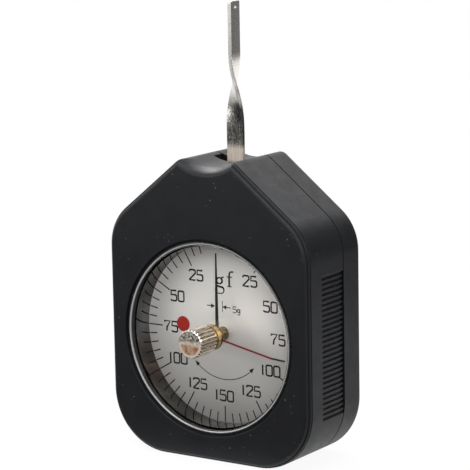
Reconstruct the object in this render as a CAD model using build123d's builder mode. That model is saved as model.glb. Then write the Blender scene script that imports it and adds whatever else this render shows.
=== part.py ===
"""Lever force gauge: a dial tension gauge with a swinging feeler lever.

Frame: millimetres, +Z up, +X to the right seen from the dial, +Y from the dial to the back.
The origin is the middle of the base, on the mid-plane of the case.
Depths are measured from the front face of the case towards the back.
"""

from build123d import *
from math import atan2, cos, degrees, hypot, pi, radians, sin
import os

os.makedirs("parts", exist_ok=True)

# ---------------------------------------------------------------- case
case_width = 62.0
case_depth = 26.2
front_shell_depth = 17.3      # front face to the parting line
shoulder_height = 61.2        # corner between side and slope, before rounding
ridge_height = 79.7           # corner between slope and finger scoop, before rounding
ridge_half_width = 7.9
scoop_low_height = 77.35      # lowest point of the scoop between the two ridges
scoop_flare_drop = 2.2        # soft front edge of the scoop, downwards
scoop_flare_length = 5.0      # and towards the back
bottom_corner_radius = 16.0
shoulder_radius = 13.2
ridge_radius = 2.5
case_wall = 1.8
front_wall = 2.2
rear_wall = 2.0
rear_edge_radius = 1.5
parting_groove_width = 0.3    # fine groove round the parting line
parting_groove_depth = 0.45

# stepped front edge: plateau, bead, fine groove, side wall
plateau_inset = 0.65
plateau_step_depth = 1.0
plateau_edge_radius = 0.95
bead_inset = 0.1
bead_end_depth = 1.5
bead_edge_radius = 0.4
edge_groove_inset = 0.4
edge_groove_end_depth = 1.8
side_edge_radius = 0.2

# finger ribs on both sides
rib_field_front = 7.2         # depth where the rib field begins
rib_field_low = 13.3
rib_pitch = 1.355
rib_groove_count = 28
rib_groove_width = 0.75
rib_groove_depth = 0.45
rib_pocket_depth = 0.3
rib_pocket_margin = 0.35
rib_pocket_radius = 0.8

# lever slot in the top
slot_half_length = 6.0
slot_front_depth = 13.6
slot_rear_depth = 18.0

# lip of the rear cover inside the front shell
lip_length = 1.6
lip_thickness = 0.8
lip_clearance = 0.1

# case screws and their posts
case_screw_low = (20.0, -22.4)    # sideways and up from the dial axis
case_screw_high = (21.0, 27.2)
case_screw_radius = 1.25
case_screw_bite = 8.0
case_screw_head_radius = 2.4
case_screw_head_height = 1.4
case_post_radius = 2.8
counterbore_depth = 1.6
screw_clearance = 0.05
head_clearance = 0.2
cross_recess_width = 0.5
cross_recess_depth = 0.6

# ---------------------------------------------------------------- window and dial
dial_height = 32.8            # height of the dial axis
window_recess_radius = 26.05
window_recess_depth = 0.9
window_edge_chamfer = 0.12
window_bore_radius = 25.45
collar_wall = 1.45
ring_depth = 0.4              # front of the window ring
ring_width = 0.7
ring_clearance = 0.05
ring_edge_radius = 0.25
crystal_depth = 0.6           # front of the crystal
crystal_thickness = 2.5
crystal_chamfer = 0.2
well_radius = 24.1
dial_depth = 9.0              # printed face of the dial
dial_thickness = 0.5
dial_hole_radius = 1.1

# ---------------------------------------------------------------- reset knob and peak pointer
knob_radius = 3.8
knob_proud = 7.6              # how far the knob stands out of the front face
knob_rear_depth = -0.7        # in front of the front face
knob_chamfer = 0.35
knob_flute_count = 24
knob_flute_radius = 0.34
stem_radius = 1.0
stem_end_depth = 5.0
stem_clearance = 0.05
bush_radius = 3.35
bush_flute_count = 24
bush_flute_radius = 0.25
bush_nut_radius = 3.45
bush_nut_thickness = 0.65
bush_nut_chamfer = 0.2
washer_inner_radius = 1.3
washer_outer_radius = 3.35
washer_edge_chamfer = 0.3
washer_gap = 0.05
peak_arm_gap = 0.1
peak_hub_radius = 1.7
peak_hub_length = 0.75
peak_arm_width = 0.45
peak_arm_thickness = 0.2
peak_bend_radius = 18.3
peak_tip_radius = 21.7
peak_tip_rise = 1.55          # how far the bent tip reaches towards the dial
peak_rest_angle = 101.7       # clockwise from the top of the dial

# ---------------------------------------------------------------- movement
front_plate_thickness = 1.2
front_plate_radius = 26.8
movement_lug_reach = 28.3     # dial axis to each lug
movement_lug_angles = (-120.0, -60.0, 45.0, 135.0)
movement_lug_radius = 2.2
movement_screw_radius = 0.95
movement_screw_bite = 4.0
movement_screw_head_radius = 1.7
movement_screw_head_height = 0.9
rear_plate_depth = 19.5
rear_plate_thickness = 1.2
rear_plate_half_width = 12.5
rear_plate_margin = 3.0
rear_plate_corner = 3.0
pillar_half_spacing = 9.5
pillar_low_drop = 5.8         # below the dial axis
pillar_high_rise = 1.7        # above the lever shaft
pillar_radius = 1.4
pillar_tenon_radius = 0.8
pillar_screw_radius = 0.7
pillar_screw_bite = 3.5
pillar_screw_head_radius = 1.5
pillar_screw_head_height = 0.8
slot_cut_width = 0.4
slot_cut_depth = 0.4

# gears: the sector on the lever drives the pinion on the pointer arbor
gear_centre_distance = 21.0
pinion_leaves = 8
sector_full_teeth = 192
sector_teeth = 12
pinion_front_depth = 16.3
pinion_length = 2.0
pinion_tip_radius = 1.03
pinion_root_radius = 0.56
pinion_leaf_width = 0.2
sector_thickness = 0.8
sector_addendum = 0.2
sector_dedendum = 0.3
sector_tooth_root_width = 0.32
sector_tooth_flank_angle = 80.0
sector_rim_width = 2.2
sector_spoke_half_angle = 10.9
sector_boss_radius = 3.4

# pointer arbor
arbor_radius = 0.5
arbor_front_depth = 5.75
arbor_pivot_radius = 0.4
arbor_pivot_end = 0.1         # left free behind the rear plate's bush face
running_clearance = 0.05
arbor_bush_radius = 1.2
pointer_depth = 5.85
pointer_thickness = 0.2
pointer_tip_radius = 21.8
pointer_base_width = 1.05
pointer_tip_width = 0.32
pointer_hub_radius = 1.9
pointer_hub_gap = 0.4         # hub to dial
hair_collet_radius = 1.1
hair_collet_depth = 11.6
hair_collet_length = 1.2
hair_spring_height = 0.6
hair_spring_thickness = 0.14
hair_spring_outer = 6.0
hair_spring_turns = 6
hair_spring_gap = 0.35        # inner coil to collet
hair_stud_radius = 0.5

# feeler lever
lever_width = 4.9
lever_thickness = 1.0
lever_depth = 14.8            # front of the strip
lever_foot_rise = 2.8         # above the lever shaft
lever_twist_low = 86.0
lever_twist_high = 105.6
lever_tip_height = 119.1
lever_twist = 83.0            # degrees between the lower and the upper face
lever_twist_sections = 13
tip_hole_height = 117.4
tip_hole_radius = 0.55
tip_corner_radius = 0.5
lever_swing = 7.5             # degrees each way
shaft_radius = 0.8
shaft_end_gap = 0.1
lever_bush_radius = 1.8
hub_radius = 2.4
hub_front_depth = 13.6
tongue_half_width = 2.2
tongue_thickness = 1.0
tongue_rise = 12.2            # above the lever shaft
hub_seat_radius = 1.8
rivet_rises = (4.9, 9.7)      # above the lever shaft
rivet_radius = 0.7
rivet_head_radius = 1.15
rivet_head_height = 0.4
weight_radius = 3.6
weight_drop = 8.5             # below the lever shaft
weight_thickness = 1.5
main_collet_radius = 1.6
main_collet_depth = 11.1
main_collet_length = 2.2
main_spring_height = 1.8
main_spring_thickness = 0.35
main_spring_outer = 6.8
main_spring_turns = 4
main_spring_gap = 0.35
main_stud_radius = 0.7
stop_pin_radius = 0.6
stop_pin_reach = 14.0         # lever shaft to each pin
stop_pin_play = 0.12

# ---------------------------------------------------------------- derived places
half_width = case_width / 2
pivot_height = dial_height + gear_centre_distance
scoop_sag = ridge_height - scoop_low_height
scoop_radius = (ridge_half_width**2 + scoop_sag**2) / (2 * scoop_sag)
crystal_rear_depth = crystal_depth + crystal_thickness
dial_rear_depth = dial_depth + dial_thickness
front_plate_rear_depth = dial_rear_depth + front_plate_thickness
rear_plate_rear_depth = rear_plate_depth + rear_plate_thickness
ring_outer_radius = window_bore_radius - ring_clearance
ring_inner_radius = ring_outer_radius - ring_width
crystal_radius = ring_inner_radius - ring_clearance
rear_cavity_depth = case_depth - rear_wall
case_screw_places = [
    (side * sideways, dial_height + rise)
    for sideways, rise in (case_screw_low, case_screw_high)
    for side in (-1, 1)
]
movement_lug_places = [
    (movement_lug_reach * cos(radians(a)), dial_height + movement_lug_reach * sin(radians(a)))
    for a in movement_lug_angles
]
pillar_low_height = dial_height - pillar_low_drop
pillar_high_height = pivot_height + pillar_high_rise
pillar_places = [
    (side * pillar_half_spacing, height)
    for height in (pillar_low_height, pillar_high_height)
    for side in (-1, 1)
]
lever_foot_height = pivot_height + lever_foot_rise
rivet_places = [(0, pivot_height + rise) for rise in rivet_rises]
sector_pitch_radius = gear_centre_distance * sector_full_teeth / (sector_full_teeth + pinion_leaves)
sector_root_radius = sector_pitch_radius - sector_dedendum
sector_front_depth = lever_depth + lever_thickness + tongue_thickness
peak_arm_depth = crystal_rear_depth + bush_nut_thickness + peak_arm_gap


def depth_plane(depth):
    """Plane facing the front, at a depth behind the front face."""
    return Plane.XZ.offset(case_depth / 2 - depth)


def case_outline(inset):
    """Outline of the case seen from the front, drawn in by an inset."""
    with BuildSketch() as outline:
        with BuildLine():
            Polyline(
                (ridge_half_width, ridge_height),
                (half_width, shoulder_height),
                (half_width, 0),
                (-half_width, 0),
                (-half_width, shoulder_height),
                (-ridge_half_width, ridge_height),
            )
            ThreePointArc(
                (-ridge_half_width, ridge_height),
                (0, scoop_low_height),
                (ridge_half_width, ridge_height),
            )
        make_face()
        fillet(outline.vertices().group_by(Axis.Y)[0], bottom_corner_radius)
        fillet(outline.vertices().group_by(Axis.Y)[-1], ridge_radius)
        shoulders = [
            v
            for v in outline.vertices()
            if abs(v.Y - shoulder_height) < 0.01 and abs(abs(v.X) - half_width) < 0.01
        ]
        fillet(shoulders, shoulder_radius)
        if inset:
            offset(amount=-inset)
    return outline.sketch


def slab(outline, front, rear, mode=Mode.ADD):
    """Extrude an outline from one depth to another, inside the current part."""
    with BuildSketch(depth_plane(front)) as profile:
        add(outline)
    extrude(profile.sketch, amount=front - rear, mode=mode)


def disc(places, radius, front, rear, mode=Mode.ADD):
    """Round posts or holes at given places, from one depth to another, inside the current part."""
    with BuildSketch(depth_plane(front)) as profile:
        with Locations(*places):
            Circle(radius)
    extrude(profile.sketch, amount=front - rear, mode=mode)


def front_edges(part):
    """Edges that lie foremost on a part."""
    return part.edges().group_by(Axis.Y)[0]


def rear_edges(part):
    """Edges that lie hindmost on a part."""
    return part.edges().group_by(Axis.Y)[-1]


def finish(part, label):
    """Name a finished piece and write it."""
    part.part.label = label
    export_step(part.part, f"parts/{label}.step")


dial_axis = [(0, dial_height)]
lever_axis = [(0, pivot_height)]

# ---------------------------------------------------------------- front case
with BuildPart() as front_case:
    slab(case_outline(0), edge_groove_end_depth, front_shell_depth)
    fillet(front_edges(front_case), side_edge_radius)
    slab(case_outline(edge_groove_inset), bead_end_depth, edge_groove_end_depth)
    slab(case_outline(bead_inset), plateau_step_depth, bead_end_depth)
    fillet(front_edges(front_case), bead_edge_radius)
    slab(case_outline(plateau_inset), 0, plateau_step_depth)
    fillet(front_edges(front_case), plateau_edge_radius)

    # soft flare at the front of the finger scoop
    with BuildSketch(
        Plane(
            origin=(0, -case_depth / 2, scoop_low_height + scoop_radius),
            x_dir=(0, 1, 0),
            z_dir=(1, 0, 0),
        )
    ) as flare:
        with BuildLine():
            Line((0, 0), (0, -scoop_radius - scoop_flare_drop))
            Bezier(
                (0, -scoop_radius - scoop_flare_drop),
                (0, -scoop_radius - scoop_flare_drop / 2),
                (scoop_flare_length / 2, -scoop_radius),
                (scoop_flare_length, -scoop_radius),
            )
            Line((scoop_flare_length, -scoop_radius), (scoop_flare_length, 0))
            Line((scoop_flare_length, 0), (0, 0))
        make_face()
    revolve(
        axis=Axis((0, 0, scoop_low_height + scoop_radius), (0, 1, 0)),
        mode=Mode.SUBTRACT,
    )

    # hollow, then the collar that holds window and dial
    slab(case_outline(case_wall), front_wall, front_shell_depth, Mode.SUBTRACT)
    disc(dial_axis, window_bore_radius + collar_wall, front_wall, dial_rear_depth)
    disc(dial_axis, window_bore_radius, 0, dial_rear_depth, Mode.SUBTRACT)
    disc(dial_axis, window_recess_radius, 0, window_recess_depth, Mode.SUBTRACT)
    chamfer(
        front_case.edges().filter_by(GeomType.CIRCLE).group_by(Axis.Y)[0].sort_by(SortBy.RADIUS)[-1],
        window_edge_chamfer,
    )

    # posts for the case screws and lugs for the movement
    disc(case_screw_places, case_post_radius, front_wall, front_shell_depth)
    disc(movement_lug_places, movement_lug_radius, front_wall, dial_rear_depth)
    disc(
        case_screw_places,
        case_screw_radius + screw_clearance,
        front_shell_depth - case_screw_bite - screw_clearance,
        front_shell_depth,
        Mode.SUBTRACT,
    )
    disc(
        movement_lug_places,
        movement_screw_radius + screw_clearance,
        dial_rear_depth - movement_screw_bite - screw_clearance,
        dial_rear_depth,
        Mode.SUBTRACT,
    )

    # lever slot
    with BuildSketch(Plane.XY.offset(shoulder_height)):
        with Locations((0, (slot_front_depth + front_shell_depth) / 2 - case_depth / 2)):
            Rectangle(2 * slot_half_length, front_shell_depth - slot_front_depth)
    extrude(amount=ridge_height - shoulder_height, mode=Mode.SUBTRACT)

    # finger ribs: a shallow pocket with horizontal grooves, open at the parting line
    rib_field_height = rib_pitch * (rib_groove_count - 1) + rib_groove_width
    rib_field_middle = rib_field_low + rib_field_height / 2
    rib_field_length = front_shell_depth - rib_field_front
    for side in (-1, 1):
        with BuildSketch(Plane.YZ.offset(side * half_width)):
            with Locations((rib_field_front - case_depth / 2 + rib_field_length, rib_field_middle)):
                RectangleRounded(
                    2 * (rib_field_length + rib_pocket_margin),
                    rib_field_height + 2 * rib_pocket_margin,
                    rib_pocket_radius,
                )
        extrude(amount=-side * rib_pocket_depth, mode=Mode.SUBTRACT)
        with BuildSketch(Plane.YZ.offset(side * (half_width - rib_pocket_depth))):
            with Locations((rib_field_front - case_depth / 2 + rib_field_length, rib_field_middle)):
                with GridLocations(0, rib_pitch, 1, rib_groove_count):
                    SlotOverall(2 * rib_field_length, rib_groove_width)
        extrude(amount=-side * rib_groove_depth, mode=Mode.SUBTRACT)
finish(front_case, "front_case")

# ---------------------------------------------------------------- rear case
with BuildPart() as rear_case:
    groove_end_depth = front_shell_depth + parting_groove_width
    slab(case_outline(0), groove_end_depth, case_depth)
    fillet(rear_edges(rear_case), rear_edge_radius)
    slab(case_outline(parting_groove_depth), front_shell_depth, groove_end_depth)
    slab(case_outline(case_wall), front_shell_depth, rear_cavity_depth, Mode.SUBTRACT)

    # lip that locates the cover inside the front shell
    lip_outer = case_wall + lip_clearance
    slab(case_outline(lip_outer), front_shell_depth - lip_length, front_shell_depth)
    slab(case_outline(case_wall), front_shell_depth, front_shell_depth + lip_thickness)
    slab(
        case_outline(lip_outer + lip_thickness),
        front_shell_depth - lip_length,
        front_shell_depth + lip_thickness,
        Mode.SUBTRACT,
    )

    # posts for the case screws
    disc(case_screw_places, case_post_radius, front_shell_depth, rear_cavity_depth)
    disc(
        case_screw_places,
        case_screw_radius + screw_clearance,
        front_shell_depth,
        case_depth,
        Mode.SUBTRACT,
    )
    disc(
        case_screw_places,
        case_screw_head_radius + head_clearance,
        case_depth - counterbore_depth,
        case_depth,
        Mode.SUBTRACT,
    )

    # lever slot, through the lip and into the cover's edge
    with BuildSketch(Plane.XY.offset(shoulder_height)):
        with Locations((0, (front_shell_depth - lip_length + slot_rear_depth) / 2 - case_depth / 2)):
            Rectangle(2 * slot_half_length, slot_rear_depth - front_shell_depth + lip_length)
    extrude(amount=ridge_height - shoulder_height, mode=Mode.SUBTRACT)
finish(rear_case, "rear_case")

# ---------------------------------------------------------------- case screws
with BuildPart() as case_screws:
    head_seat = case_depth - counterbore_depth
    disc(case_screw_places, case_screw_head_radius, head_seat, head_seat + case_screw_head_height)
    fillet(rear_edges(case_screws), case_screw_head_height / 4)
    disc(case_screw_places, case_screw_radius, front_shell_depth - case_screw_bite, head_seat)
    with BuildSketch(depth_plane(head_seat + case_screw_head_height)):
        with Locations(*case_screw_places):
            Rectangle(case_screw_head_radius, cross_recess_width)
            Rectangle(cross_recess_width, case_screw_head_radius)
    extrude(amount=cross_recess_depth, mode=Mode.SUBTRACT)
finish(case_screws, "case_screws")

# ---------------------------------------------------------------- window
with BuildPart() as window_ring:
    disc(dial_axis, ring_outer_radius, ring_depth, crystal_rear_depth)
    disc(dial_axis, ring_inner_radius, ring_depth, crystal_rear_depth, Mode.SUBTRACT)
    fillet(front_edges(window_ring), ring_edge_radius)
finish(window_ring, "window_ring")

with BuildPart() as crystal:
    disc(dial_axis, crystal_radius, crystal_depth, crystal_rear_depth)
    chamfer(front_edges(crystal), crystal_chamfer)
    disc(dial_axis, bush_radius + stem_clearance, crystal_depth, crystal_rear_depth, Mode.SUBTRACT)
finish(crystal, "crystal")

with BuildPart() as dial_spacer:
    disc(dial_axis, ring_outer_radius, crystal_rear_depth, dial_depth)
    disc(dial_axis, well_radius, crystal_rear_depth, dial_depth, Mode.SUBTRACT)
finish(dial_spacer, "dial_spacer")

with BuildPart() as dial:
    disc(dial_axis, ring_outer_radius, dial_depth, dial_rear_depth)
    disc(dial_axis, dial_hole_radius, dial_depth, dial_rear_depth, Mode.SUBTRACT)
finish(dial, "dial")

# ---------------------------------------------------------------- knob, bush and peak pointer
with BuildPart() as reset_knob:
    disc(dial_axis, knob_radius, -knob_proud, knob_rear_depth)
    chamfer(front_edges(reset_knob), knob_chamfer)
    with BuildSketch(depth_plane(-knob_proud)):
        with Locations(*dial_axis):
            with PolarLocations(knob_radius, knob_flute_count):
                Circle(knob_flute_radius)
    extrude(amount=-knob_proud - knob_rear_depth, mode=Mode.SUBTRACT)
    disc(dial_axis, stem_radius, knob_rear_depth, stem_end_depth)
finish(reset_knob, "reset_knob")

with BuildPart() as friction_washer:
    disc(dial_axis, washer_outer_radius, knob_rear_depth + washer_gap, crystal_depth)
    chamfer(front_edges(friction_washer), washer_edge_chamfer)
    disc(dial_axis, washer_inner_radius, knob_rear_depth + washer_gap, crystal_depth, Mode.SUBTRACT)
finish(friction_washer, "friction_washer")

with BuildPart() as knob_bush:
    disc(dial_axis, bush_radius, crystal_depth, crystal_rear_depth)
    with BuildSketch(depth_plane(crystal_depth)):
        with Locations(*dial_axis):
            with PolarLocations(bush_radius, bush_flute_count):
                Circle(bush_flute_radius)
    extrude(amount=-crystal_thickness, mode=Mode.SUBTRACT)
    disc(dial_axis, stem_radius + stem_clearance, crystal_depth, crystal_rear_depth, Mode.SUBTRACT)
finish(knob_bush, "knob_bush")

with BuildPart() as bush_nut:
    nut_rear_depth = crystal_rear_depth + bush_nut_thickness
    disc(dial_axis, bush_nut_radius, crystal_rear_depth, nut_rear_depth)
    chamfer(bush_nut.edges(), bush_nut_chamfer)
    disc(dial_axis, stem_radius + stem_clearance, crystal_rear_depth, nut_rear_depth, Mode.SUBTRACT)
finish(bush_nut, "bush_nut")

with BuildPart() as peak_hub:
    hub_start = peak_arm_depth + peak_arm_thickness
    disc(dial_axis, peak_hub_radius, hub_start, hub_start + peak_hub_length)
    disc(dial_axis, stem_radius, hub_start, hub_start + peak_hub_length, Mode.SUBTRACT)
finish(peak_hub, "peak_hub")

with BuildPart() as peak_pointer:
    # side view of the arm: straight along the crystal, then bent towards the dial
    peak_direction = (sin(radians(peak_rest_angle)), 0, cos(radians(peak_rest_angle)))
    peak_side = Plane(
        origin=(0, peak_arm_depth - case_depth / 2, dial_height),
        x_dir=peak_direction,
        z_dir=(-peak_direction[2], 0, peak_direction[0]),
    )
    with BuildSketch(peak_side):
        with BuildLine():
            Polyline(
                (0, 0),
                (peak_bend_radius, 0),
                (peak_tip_radius, peak_tip_rise - peak_arm_thickness),
                (peak_tip_radius, peak_tip_rise),
                (peak_bend_radius - peak_arm_thickness, peak_arm_thickness),
                (0, peak_arm_thickness),
                close=True,
            )
        make_face()
    extrude(amount=peak_arm_width / 2, both=True)
    disc(dial_axis, peak_hub_radius, peak_arm_depth, hub_start)
    disc(dial_axis, stem_radius, peak_arm_depth, hub_start, Mode.SUBTRACT)
finish(peak_pointer, "peak_pointer")

# ---------------------------------------------------------------- movement frame
with BuildPart() as movement_front_plate:
    disc(dial_axis, front_plate_radius, dial_rear_depth, front_plate_rear_depth)
    disc(movement_lug_places, movement_lug_radius, dial_rear_depth, front_plate_rear_depth)
    for places, radius in (
        (movement_lug_places, movement_screw_radius + screw_clearance),
        (pillar_places, pillar_tenon_radius),
        (dial_axis, arbor_bush_radius),
        (lever_axis, lever_bush_radius),
    ):
        disc(places, radius, dial_rear_depth, front_plate_rear_depth, Mode.SUBTRACT)
finish(movement_front_plate, "movement_front_plate")

with BuildPart() as movement_rear_plate:
    plate_low = pillar_low_height - rear_plate_margin
    plate_high = pillar_high_height + rear_plate_margin
    with BuildSketch(depth_plane(rear_plate_depth)):
        with Locations((0, (plate_low + plate_high) / 2)):
            RectangleRounded(2 * rear_plate_half_width, plate_high - plate_low, rear_plate_corner)
    extrude(amount=-rear_plate_thickness)
    for places, radius in (
        (pillar_places, pillar_screw_radius + screw_clearance),
        (dial_axis, arbor_bush_radius),
        (lever_axis, lever_bush_radius),
    ):
        disc(places, radius, rear_plate_depth, rear_plate_rear_depth, Mode.SUBTRACT)
finish(movement_rear_plate, "movement_rear_plate")

with BuildPart() as plate_pillars:
    disc(pillar_places, pillar_radius, front_plate_rear_depth, rear_plate_depth)
    disc(pillar_places, pillar_tenon_radius, dial_rear_depth, front_plate_rear_depth)
    disc(
        pillar_places,
        pillar_screw_radius + screw_clearance,
        rear_plate_depth - pillar_screw_bite - screw_clearance,
        rear_plate_depth,
        Mode.SUBTRACT,
    )
finish(plate_pillars, "plate_pillars")


def slotted_screws(places, shank_radius, head_radius, head_height, seat, bite):
    """Cheese-head screws driven from the back, inside the current part."""
    disc(places, shank_radius, seat - bite, seat)
    disc(places, head_radius, seat, seat + head_height)
    with BuildSketch(depth_plane(seat + head_height)) as slots:
        with Locations(*places):
            Rectangle(2 * head_radius, slot_cut_width)
    extrude(slots.sketch, amount=slot_cut_depth, mode=Mode.SUBTRACT)


with BuildPart() as pillar_screws:
    slotted_screws(
        pillar_places,
        pillar_screw_radius,
        pillar_screw_head_radius,
        pillar_screw_head_height,
        rear_plate_rear_depth,
        rear_plate_thickness + pillar_screw_bite,
    )
finish(pillar_screws, "pillar_screws")

with BuildPart() as movement_screws:
    slotted_screws(
        movement_lug_places,
        movement_screw_radius,
        movement_screw_head_radius,
        movement_screw_head_height,
        front_plate_rear_depth,
        front_plate_thickness + movement_screw_bite,
    )
finish(movement_screws, "movement_screws")


def plate_bushes(places, outer_radius, front_bore, rear_bore):
    """One bush in each movement plate, inside the current part."""
    for front, rear, bore in (
        (dial_rear_depth, front_plate_rear_depth, front_bore),
        (rear_plate_depth, rear_plate_rear_depth, rear_bore),
    ):
        with BuildSketch(depth_plane(front)) as profile:
            with Locations(*places):
                Circle(outer_radius)
                Circle(bore + running_clearance, mode=Mode.SUBTRACT)
        extrude(profile.sketch, amount=front - rear)


with BuildPart() as arbor_bushes:
    plate_bushes(dial_axis, arbor_bush_radius, arbor_radius, arbor_pivot_radius)
finish(arbor_bushes, "arbor_bushes")

with BuildPart() as lever_bushes:
    plate_bushes(lever_axis, lever_bush_radius, shaft_radius, shaft_radius)
finish(lever_bushes, "lever_bushes")

# ---------------------------------------------------------------- pointer train
with BuildPart() as pinion_arbor:
    disc(dial_axis, arbor_radius, arbor_front_depth, pinion_front_depth + pinion_length)
    disc(dial_axis, pinion_root_radius, pinion_front_depth, pinion_front_depth + pinion_length)
    with BuildSketch(depth_plane(pinion_front_depth)):
        with Locations(*dial_axis):
            with PolarLocations(pinion_tip_radius / 2, pinion_leaves, start_angle=90):
                SlotOverall(pinion_tip_radius, pinion_leaf_width)
    extrude(amount=-pinion_length)
    disc(
        dial_axis,
        arbor_pivot_radius,
        pinion_front_depth + pinion_length,
        rear_plate_rear_depth - arbor_pivot_end,
    )
finish(pinion_arbor, "pinion_arbor")

with BuildPart() as pointer:
    with BuildSketch(depth_plane(pointer_depth)):
        with Locations(*dial_axis):
            Circle(pointer_hub_radius)
        with BuildLine():
            Polyline(
                (-pointer_base_width / 2, dial_height),
                (pointer_base_width / 2, dial_height),
                (pointer_tip_width / 2, dial_height + pointer_tip_radius),
                (-pointer_tip_width / 2, dial_height + pointer_tip_radius),
                close=True,
            )
        make_face()
        with Locations(*dial_axis):
            Circle(arbor_radius, mode=Mode.SUBTRACT)
    extrude(amount=-pointer_thickness)
finish(pointer, "pointer")

with BuildPart() as pointer_hub:
    disc(dial_axis, pointer_hub_radius, pointer_depth + pointer_thickness, dial_depth - pointer_hub_gap)
    disc(
        dial_axis,
        arbor_radius,
        pointer_depth + pointer_thickness,
        dial_depth - pointer_hub_gap,
        Mode.SUBTRACT,
    )
finish(pointer_hub, "pointer_hub")


def collet(places, radius, bore, front, length):
    """Ring pressed on a shaft to hold a spring's inner end, inside the current part."""
    disc(places, radius, front, front + length)
    disc(places, bore, front, front + length, Mode.SUBTRACT)


def spiral_spring(centre_height, inner, outer, turns, thickness, front, height):
    """Flat spiral spring, its outer end at the bottom of the coil, inside the current part."""
    steps = 16 * turns
    edges = []
    for side in (-thickness / 2, thickness / 2):
        edges.append(
            [
                (
                    (inner + (outer - inner) * k / steps + side) * sin(2 * pi * turns * k / steps + pi),
                    centre_height
                    + (inner + (outer - inner) * k / steps + side) * cos(2 * pi * turns * k / steps + pi),
                )
                for k in range(steps + 1)
            ]
        )
    with BuildSketch(depth_plane(front)) as coil:
        with BuildLine():
            Spline(*edges[0])
            Spline(*edges[1])
            Line(edges[0][0], edges[1][0])
            Line(edges[0][-1], edges[1][-1])
        make_face()
    extrude(coil.sketch, amount=-height)


with BuildPart() as hairspring_collet:
    collet(dial_axis, hair_collet_radius, arbor_radius, hair_collet_depth, hair_collet_length)
finish(hairspring_collet, "hairspring_collet")

with BuildPart() as hairspring:
    spiral_spring(
        dial_height,
        hair_collet_radius + hair_spring_gap,
        hair_spring_outer,
        hair_spring_turns,
        hair_spring_thickness,
        hair_collet_depth + (hair_collet_length - hair_spring_height) / 2,
        hair_spring_height,
    )
finish(hairspring, "hairspring")

with BuildPart() as hairspring_stud:
    hair_stud_reach = hair_spring_outer + hair_spring_thickness / 2 + hair_stud_radius
    disc(
        [(0, dial_height - hair_stud_reach)],
        hair_stud_radius,
        front_plate_rear_depth,
        hair_collet_depth + hair_collet_length,
    )
finish(hairspring_stud, "hairspring_stud")

# ---------------------------------------------------------------- feeler lever
lever_middle = lever_depth + lever_thickness / 2 - case_depth / 2


def lever_section(height, angle):
    """Section of the strip at a height, turned about its own upright axis."""
    return Plane(origin=(0, lever_middle, height), x_dir=(cos(radians(angle)), sin(radians(angle)), 0))


with BuildPart() as feeler_lever:
    with BuildSketch(lever_section(lever_foot_height, 0)):
        Rectangle(lever_width, lever_thickness)
    extrude(amount=lever_twist_low - lever_foot_height)
    for k in range(lever_twist_sections):
        share = k / (lever_twist_sections - 1)
        turned = -lever_twist * share**2 * (3 - 2 * share)
        height = lever_twist_low + share * (lever_twist_high - lever_twist_low)
        with BuildSketch(lever_section(height, turned)):
            Rectangle(lever_width, lever_thickness)
    loft()
    with BuildSketch(lever_section(lever_twist_high, -lever_twist)):
        Rectangle(lever_width, lever_thickness)
    extrude(amount=lever_tip_height - lever_twist_high)
    tip_side = Plane(
        origin=(0, lever_middle, tip_hole_height),
        x_dir=(cos(radians(lever_twist)), -sin(radians(lever_twist)), 0),
        z_dir=(sin(radians(lever_twist)), cos(radians(lever_twist)), 0),
    )
    fillet(
        feeler_lever.edges().group_by(Axis.Z)[-1].sort_by(Axis.Y)[0:1]
        + feeler_lever.edges().group_by(Axis.Z)[-1].sort_by(Axis.Y)[-1:],
        tip_corner_radius,
    )
    with BuildSketch(tip_side):
        Circle(tip_hole_radius)
    extrude(amount=lever_thickness, both=True, mode=Mode.SUBTRACT)
    disc(
        rivet_places,
        rivet_radius,
        lever_depth,
        lever_depth + lever_thickness,
        Mode.SUBTRACT,
    )
finish(feeler_lever, "feeler_lever")

with BuildPart() as lever_shaft:
    disc(
        lever_axis,
        shaft_radius,
        dial_rear_depth + shaft_end_gap,
        rear_plate_rear_depth - shaft_end_gap,
    )
finish(lever_shaft, "lever_shaft")

with BuildPart() as lever_hub:
    tongue_depth = lever_depth + lever_thickness
    disc(lever_axis, hub_radius, hub_front_depth, sector_front_depth)
    with BuildSketch(depth_plane(tongue_depth)):
        with Locations((0, pivot_height + tongue_rise / 2)):
            Rectangle(2 * tongue_half_width, tongue_rise)
    extrude(amount=-tongue_thickness)
    disc(lever_axis, hub_seat_radius, sector_front_depth, sector_front_depth + sector_thickness)
    disc(
        lever_axis,
        shaft_radius,
        hub_front_depth,
        sector_front_depth + sector_thickness,
        Mode.SUBTRACT,
    )
    disc(
        rivet_places,
        rivet_radius,
        tongue_depth,
        tongue_depth + tongue_thickness,
        Mode.SUBTRACT,
    )
finish(lever_hub, "lever_hub")

with BuildPart() as lever_rivets:
    disc(rivet_places, rivet_radius, lever_depth, sector_front_depth)
    disc(rivet_places, rivet_head_radius, lever_depth - rivet_head_height, lever_depth)
    disc(rivet_places, rivet_head_radius, sector_front_depth, sector_front_depth + rivet_head_height)
finish(lever_rivets, "lever_rivets")

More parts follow.
